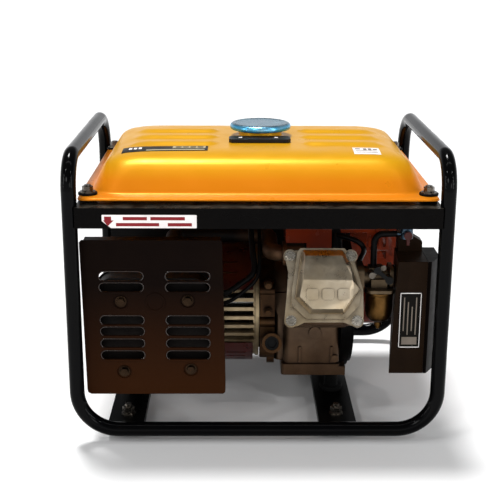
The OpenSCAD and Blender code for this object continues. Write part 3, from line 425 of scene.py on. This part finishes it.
# ---------------------------------------------------------------- smooth tank with its embossed ribs
CAP_CENTRE = (5.0, 20.0)
CROWN_MIDDLE_Y = 5.8
CROWN_HEIGHT = 350.2
NECK_FOOT_RADIUS = 30.6
NECK_INNER = 27.1
TANK_POINTS = 192
CROWN_STEPS = 26
RIB_RISE = 3.2
RIB_REACH = 18.0
RIB_ENDS = ((-142, -66), (74, 142))
RIB_LINES = (-38, 8, 54)


def rounded_ring(half_x, front, back, radius, height):
    """A rounded rectangle from front to back of the tank, as evenly numbered points."""
    middle = (front + back) / 2
    half_y = (back - front) / 2
    ring = []
    for k in range(TANK_POINTS):
        angle = 2 * math.pi * (k + 0.5) / TANK_POINTS
        c, d = math.cos(angle), math.sin(angle)
        reach_x, reach_y = half_x - radius, half_y - radius
        # the point where the ray leaves a rectangle, then rounded by the corner circle
        scale = min(half_x / max(abs(c), 1e-9), half_y / max(abs(d), 1e-9))
        x, y = c * scale, d * scale
        if abs(x) > reach_x and abs(y) > reach_y:
            along = math.atan2(abs(y) - reach_y, abs(x) - reach_x)
            x = math.copysign(reach_x + radius * math.cos(along), x)
            y = math.copysign(reach_y + radius * math.sin(along), y)
        ring.append((x, middle + y, height))
    return ring


def emboss(x, y):
    """Raise of the long shallow ribs on the crown, left and right of the cap."""
    raised = 0.0
    for start, end in RIB_ENDS:
        for line in RIB_LINES:
            aside = max(start - x, x - end, 0.0)
            off = math.hypot(aside, y - line)
            raised = max(raised, RIB_RISE * (1 - min(off / RIB_REACH, 1.0) ** 4) ** 3)
    return raised


def round_cap(x, y, radius, height):
    """A point of a circle round the cap, in the direction that (x, y) has from the crown's middle."""
    angle = math.atan2(y - CROWN_MIDDLE_Y, x)
    return (CAP_CENTRE[0] + radius * math.cos(angle), CAP_CENTRE[1] + radius * math.sin(angle), height)


def wall_rings():
    """The rings from the rolled edge up the walls to the edge of the crown."""
    profile = (
        # height, half width, front, back, corner radius
        (306.0, 212.2, -167.2, 167.2, 7.5), (305.6, 212.7, -167.7, 167.7, 8),
        (306.6, 213, -168, 168, 8), (307.8, 212.8, -167.8, 167.8, 8),
        (308.3, 212, -167, 167, 8), (308.3, 204.5, -148.5, 148.5, 33),
        (308.7, 202.2, -146.2, 146.2, 34), (309.8, 200.6, -144.6, 144.9, 34),
        (311.6, 199.6, -143.2, 144, 34), (318, 197, -138.2, 142.5, 33),
        (326, 193.4, -131.6, 140.6, 32), (333, 189.8, -125.6, 137.6, 32),
        (338, 186.4, -120.6, 133.6, 31), (342, 181.8, -115.4, 128.4, 31),
        (345, 176, -109.4, 122.4, 31), (347.2, 169, -102, 115, 32),
        (348.8, 161, -93, 106.4, 34), (349.8, 150, -82.4, 95.6, 37),
        (CROWN_HEIGHT, 137, -71, 83.6, 38),
    )
    return [rounded_ring(half, front, back, radius, height)
            for height, half, front, back, radius in profile]


def crown_rings(outline):
    """The rings that close in from the crown's outline to the foot of the filler neck."""
    rings = []
    for step in range(1, CROWN_STEPS + 1):
        part = step / CROWN_STEPS
        height = CROWN_HEIGHT + 0.35 * math.sin(part * math.pi / 2)
        ring = []
        for x, y, _ in outline:
            foot_x, foot_y, _ = round_cap(x, y, NECK_FOOT_RADIUS, height)
            ring.append((x + (foot_x - x) * part, y + (foot_y - y) * part, height))
        rings.append(ring)
    return rings


def neck_rings(outline):
    """The filler neck: a small fillet, the wall, the rolled lip and the wall inside."""
    profile = ((30.0, 350.7), (29.0, 351.4), (28.6, 352.6), (28.5, 360.4), (28.2, 360.9), (27.4, 360.9),
               (NECK_INNER, 360.4), (NECK_INNER, 340.0))
    return [[round_cap(x, y, radius, height) for x, y, _ in outline] for radius, height in profile]


def loft_tank():
    """The pressed upper tank shell as one smooth skin, from the rolled edge to the filler neck."""
    walls = wall_rings()
    outline = walls[-1]
    pressed = walls + crown_rings(outline)
    neck = neck_rings(outline)
    points = [(x, y, z + (emboss(x, y) if z > 345 else 0.0)) for ring in pressed for x, y, z in ring]
    points += [point for ring in neck for point in ring]
    faces = ring_faces(len(pressed) + len(neck), TANK_POINTS)
    skin = add_piece("tank_skin", points, faces, "tank_yellow", smooth=True)
    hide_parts("tank_upper_shell")
    return points, faces


tank_points, tank_faces = loft_tank()
tank_tree = BVHTree.FromPolygons([Vector(p) for p in tank_points], tank_faces)


def on_tank(x, y, lift):
    """The point of the tank's skin below (x, y), lifted a little off it."""
    place, normal, _, _ = tank_tree.ray_cast(Vector((x, y, 500.0)), Vector((0, 0, -1)))
    if normal.z < 0:
        normal = -normal
    return tuple(place + normal * lift)


# ---------------------------------------------------------------- labels, with plain bars for lettering
def label(name, at, x0, x1, y0, y1, material, cells_x=1, cells_y=1):
    """A thin sheet laid on a surface; at(x, y) gives its points."""
    points = [at(x0 + (x1 - x0) * i / cells_x, y0 + (y1 - y0) * j / cells_y)
              for j in range(cells_y + 1) for i in range(cells_x + 1)]
    row = cells_x + 1
    faces = [(j * row + i, j * row + i + 1, (j + 1) * row + i + 1, (j + 1) * row + i)
             for j in range(cells_y) for i in range(cells_x)]
    return add_piece(name, points, faces, material)


STRIP_LEAN = 0.04
STRIP_END = -64
SHEET_LIFT = 0.25
INK_LIFT = 0.4


def tank_label(name, x0, x1, y0, y1, lift, material, cells_x, cells_y):
    """A label on the tank's skin. Left of the middle it leans a little, as the decal strip does."""
    def place(x, y):
        leaning = y + STRIP_LEAN * (x - STRIP_END) if x < 0 else y
        return on_tank(x, leaning, lift)
    label(name, place, x0, x1, y0, y1, material, cells_x, cells_y)


def tank_labels():
    """The decal strip on the left of the crown and the small note on its right."""
    tank_label("tank_strip", -168, -62, -85, -58, SHEET_LIFT, "label_black", 26, 12)
    tank_label("tank_strip_silver", -106, -65, -72, -60, INK_LIFT, "label_silver", 16, 6)
    tank_label("tank_strip_stripe", -138, -66, -82, -77, INK_LIFT, "label_silver", 20, 3)
    for k in range(3):
        start = -160 + 6 * k
        tank_label(f"tank_strip_mark_{k}", start, start + 4, -73, -64, INK_LIFT, "label_white", 3, 4)
    for k in range(4):
        start = -102 + 9 * k
        lift = INK_LIFT + MARK_LIFT
        tank_label(f"tank_strip_bar_{k}", start, start + 7, -69, -63, lift, "label_black", 4, 3)
    tank_label("tank_note", 118, 151, -97, -66, SHEET_LIFT, "label_white", 10, 14)
    bars = ((121, 127, -76, -71), (131, 135, -80, -70), (137, 141, -80, -70), (143, 148, -78, -72),
            (121, 148, -84, -82.5), (121, 148, -91, -89.5))
    for k, (x0, x1, y0, y1) in enumerate(bars):
        tank_label(f"tank_note_bar_{k}", x0, x1, y0, y1, INK_LIFT, "label_grey", 5, 3)


def flat_sheet(name, outline, y, material):
    """An upright sheet facing the front, with its outline in X and Z."""
    add_piece(name, [(x, y, z) for x, z in outline], [tuple(range(len(outline)))], material)


def rail_label():
    """The caution sheet at the rail's left: one cut corner, an arrow and four bars in place of words."""
    outline = ((-181.8, 292.8), (-73, 292.8), (-72.4, 292.2), (-72.4, 277.6), (-73, 277), (-172, 277),
               (-182.4, 285.4), (-182.4, 292.2))
    arrow = ((-179.6, 290.8), (-171.4, 290.8), (-171.4, 286.2), (-168.6, 286.2), (-175.5, 279.4),
             (-181, 286.2), (-179.6, 286.2))
    bars = ((-158, -130, 286.4, 290.4), (-126, -86, 286.4, 290.4), (-166, -116, 279.2, 283.2),
            (-106, -78, 279.2, 283.2))
    ink_y = RAIL_LABEL_Y - RAIL_MARK_LIFT

    def ink(x, z):
        return (x, ink_y, z)

    flat_sheet("rail_label", outline, RAIL_LABEL_Y, "label_white")
    flat_sheet("rail_label_arrow", arrow, ink_y, "label_red")
    for k, (x0, x1, z0, z1) in enumerate(bars):
        label(f"rail_label_bar_{k}", ink, x0, x1, z0, z1, "label_red")


def air_box_label():
    """The upright plate on the air cleaner: a white frame, four columns and a foot in place of words."""
    left, right, low, high = 176.5, 202.5, 110, 182
    border = ((left, right, high - 1, high), (left, right, low, low + 1),
              (left, left + 0.8, low, high), (right - 0.8, right, low, high))
    ink_y = AIR_BOX_LABEL_Y - MARK_LIFT

    def sheet(x, z):
        return (x, AIR_BOX_LABEL_Y, z)

    def ink(x, z):
        return (x, ink_y, z)

    label("air_box_label", sheet, left - 1, right + 1, low - 1, high + 1, "label_black")
    for k, (x0, x1, z0, z1) in enumerate(border):
        label(f"air_box_frame_{k}", ink, x0, x1, z0, z1, "label_white")
    for k in range(4):
        start = 181 + 5 * k
        foot, head = 132 - 5 * (k % 2), 176 - 6 * (k % 3)
        label(f"air_box_bar_{k}", ink, start, start + 1.4, foot, head, "label_grey")
    label("air_box_foot", ink, 180, 199, 114, 124, "label_grey")


def gauge_marks():
    """The white marks at the two ends of the fuel gauge."""
    def ink(x, y):
        return (x, y, GAUGE_MARK_Z)

    for k, start in enumerate((-23.7, 22.3)):
        label(f"gauge_mark_{k}", ink, start, start + 4.4, -28.2, -21.8, "label_white")


# ---------------------------------------------------------------- weld beads and louvre rims
def circle(centre, radius, sides, side, other):
    """Points of a circle in the plane of two directions."""
    points = []
    for k in range(sides):
        angle = 2 * math.pi * k / sides
        points.append(tuple(Vector(centre) + radius * (math.cos(angle) * side + math.sin(angle) * other)))
    return points


def lumpy_bead(name, path, radius, material):
    """A weld bead: a chain of overlapping flat ripples along a path, with tapered ends."""
    sides = 8
    last = len(path) - 1
    points = []
    for k, centre in enumerate(path):
        swell = radius * (1.0 + 0.18 * math.sin(2.4 * k))
        if k in (0, last):
            swell *= 0.2
        ahead = Vector(path[min(k + 1, last)]) - Vector(path[max(k - 1, 0)])
        ahead.normalize()
        side = ahead.orthogonal().normalized()
        points += circle(centre, swell, sides, side, ahead.cross(side))
    faces = ring_faces(len(path), sides)
    faces.append(tuple(range(sides)))
    faces.append(tuple(len(points) - sides + j for j in reversed(range(sides))))
    add_piece(name, points, faces, material, smooth=True)


def closed_bead(name, path, radius, material):
    """A thin round rim along a closed path that lies in an upright plane facing the front."""
    sides = 6
    backward = Vector((0, 1, 0))
    points = []
    for k, centre in enumerate(path):
        ahead = Vector(path[(k + 1) % len(path)]) - Vector(path[k - 1])
        points += circle(centre, radius, sides, ahead.normalized().cross(backward), backward)
    add_piece(name, points, ring_faces(len(path), sides, closed=True), material, smooth=True)


SHIELD_Y = -160.1
LOUVRE_STARTS = (-191.5, -111.5)
LOUVRE_HEIGHTS = (211, 197, 155, 140.5, 125, 109.5)
LOUVRE_LENGTH = 53.0
LOUVRE_END_RADIUS = 5.6
RIM_RADIUS = 6.0


def louvre_rims():
    """The pressed rim round each louvre of the heat shield."""
    for column, start in enumerate(LOUVRE_STARTS):
        ends = ((start + LOUVRE_LENGTH - LOUVRE_END_RADIUS, -90), (start + LOUVRE_END_RADIUS, 90))
        for row, height in enumerate(LOUVRE_HEIGHTS):
            path = []
            for centre, turn in ends:
                for step in range(9):
                    angle = math.radians(turn + 22.5 * step)
                    path.append((centre + RIM_RADIUS * math.cos(angle), SHIELD_Y,
                                 height + RIM_RADIUS * math.sin(angle)))
            closed_bead(f"louvre_rim_{column}_{row}", path, 0.75, "rim_brown")


def weld_beads():
    """Beads where the front cross rail meets the tubes, and round the tube's butt joint."""
    for name, side in (("weld_rail_left", -1), ("weld_rail_right", 1)):
        path = [(side * (213.4 + 0.5 * math.sin(k)), -180.2, 277 + 1.2 * k) for k in range(20)]
        lumpy_bead(name, path, 1.5, "rail_black")
    ring = []
    for k in range(33):
        y, z = math.cos(0.2 * k), math.sin(0.2 * k)
        # ground nearly flush on the front, where the tube is the outermost part of the machine
        reach = min(TUBE_RADIUS + 0.1, (TUBE_RADIUS - 0.55) / max(-y, 0.01))
        ring.append((BUTT_X, TUBE_Y + reach * y, TUBE_Z + reach * z))
    lumpy_bead("weld_butt", ring, 0.42, "tube_black")


tank_labels()
rail_label()
air_box_label()
gauge_marks()
louvre_rims()
weld_beads()


# ---------------------------------------------------------------- floor, lights and camera
def floor():
    """A wide pale floor."""
    bpy.ops.mesh.primitive_plane_add(size=160)
    ground = bpy.context.object
    ground.name = "floor"
    s = Shader("floor_paper")
    s.colour(s.mix(s.noise(3.0), (0.72, 0.72, 0.72), (0.74, 0.74, 0.74)))
    s.set(roughness=0.9, specular_ior_level=0.1)
    s.bump(s.noise(300.0, 3.0), 0.05, 0.0002)
    ground.data.materials.append(s.material)


SOFTBOXES = (
    # name, place, target, width and height, power
    ("key", (-0.9, -2.0, 1.3), (0, 0, 0.2), (0.6, 0.4), 9),
    ("fill", (0.9, -2.0, 0.7), (0, 0, 0.2), (0.5, 0.4), 4),
    ("glint_left", (-1.3, -1.2, 2.0), (0, 0, 0.3), (0.09, 0.09), 6),
    ("glint_right", (1.3, -1.3, 1.9), (0, 0, 0.3), (0.09, 0.09), 5),
    ("strip_right", (1.9, -1.5, 0.9), (0, 0, 0.2), (0.04, 1.3), 14),
    ("strip_left", (-2.0, -1.0, 0.8), (0, 0, 0.2), (0.04, 1.2), 9),
    ("strip_top", (0.0, -0.42, 2.2), (0, -0.17, 0.0), (2.4, 0.06), 5),
)


def softbox(name, place, target, size, power):
    """A soft rectangular light that faces a target, in metres and watts."""
    light = bpy.data.lights.new(name, "AREA")
    light.shape = "RECTANGLE"
    light.size, light.size_y = size
    light.energy = power
    lamp = bpy.data.objects.new(name, light)
    bpy.context.scene.collection.objects.link(lamp)
    lamp.location = place
    lamp.rotation_euler = (Vector(target) - Vector(place)).to_track_quat("-Z", "Y").to_euler()


def overhead(name, towards, strength, spread):
    """A wide soft light from one direction, the same over the whole floor."""
    light = bpy.data.lights.new(name, "SUN")
    light.energy = strength
    light.angle = math.radians(spread)
    lamp = bpy.data.objects.new(name, light)
    bpy.context.scene.collection.objects.link(lamp)
    lamp.rotation_euler = Vector(towards).to_track_quat("Z", "Y").to_euler()


def studio():
    """A pale surround that fades upwards, one overhead light and the softboxes."""
    world = bpy.data.worlds.new("studio")
    bpy.context.scene.world = world
    world.use_nodes = True
    background = world.node_tree.nodes["Background"]
    background.inputs["Color"].default_value = (0.97, 0.98, 1.0, 1.0)
    nodes = world.node_tree.nodes
    links = world.node_tree.links
    place = nodes.new("ShaderNodeTexCoord")
    split = nodes.new("ShaderNodeSeparateXYZ")
    fade = nodes.new("ShaderNodeMapRange")
    for socket, value in (("From Min", 0.2), ("From Max", 0.46), ("To Min", 0.98), ("To Max", 0.2)):
        fade.inputs[socket].default_value = value
    links.new(place.outputs["Generated"], split.inputs["Vector"])
    links.new(split.outputs["Z"], fade.inputs["Value"])
    links.new(fade.outputs["Result"], background.inputs["Strength"])
    overhead("overhead", (-0.12, 0.3, 1.0), 4.0, 14)
    for box in SOFTBOXES:
        softbox(*box)


CAMERA_PLACE = (-24.94, -1358.49, 594.46)
CAMERA_YAW = 0.709
CAMERA_PITCH = 16.294
CAMERA_ROLL = 0.295
CAMERA_LENS = 75.39


def camera():
    """The standpoint: place in mm, angles in degrees, 36 mm sensor."""
    data = bpy.data.cameras.new("camera")
    data.lens = CAMERA_LENS
    data.sensor_width = 36.0
    data.clip_end = 100.0
    eye = bpy.data.objects.new("camera", data)
    bpy.context.scene.collection.objects.link(eye)
    yaw, pitch, roll = (math.radians(a) for a in (CAMERA_YAW, CAMERA_PITCH, CAMERA_ROLL))
    ahead = Vector((math.sin(yaw) * math.cos(pitch), math.cos(yaw) * math.cos(pitch), -math.sin(pitch)))
    level = Vector((math.cos(yaw), -math.sin(yaw), 0.0))
    raised = level.cross(ahead)
    right = math.cos(roll) * level + math.sin(roll) * raised
    up = math.cos(roll) * raised - math.sin(roll) * level
    turn = Matrix((right, up, -ahead)).transposed().to_4x4()
    eye.matrix_world = Matrix.Translation(Vector(CAMERA_PLACE) * MM) @ turn
    bpy.context.scene.camera = eye


floor()
studio()
camera()
bpy.context.scene.view_settings.view_transform = "Standard"
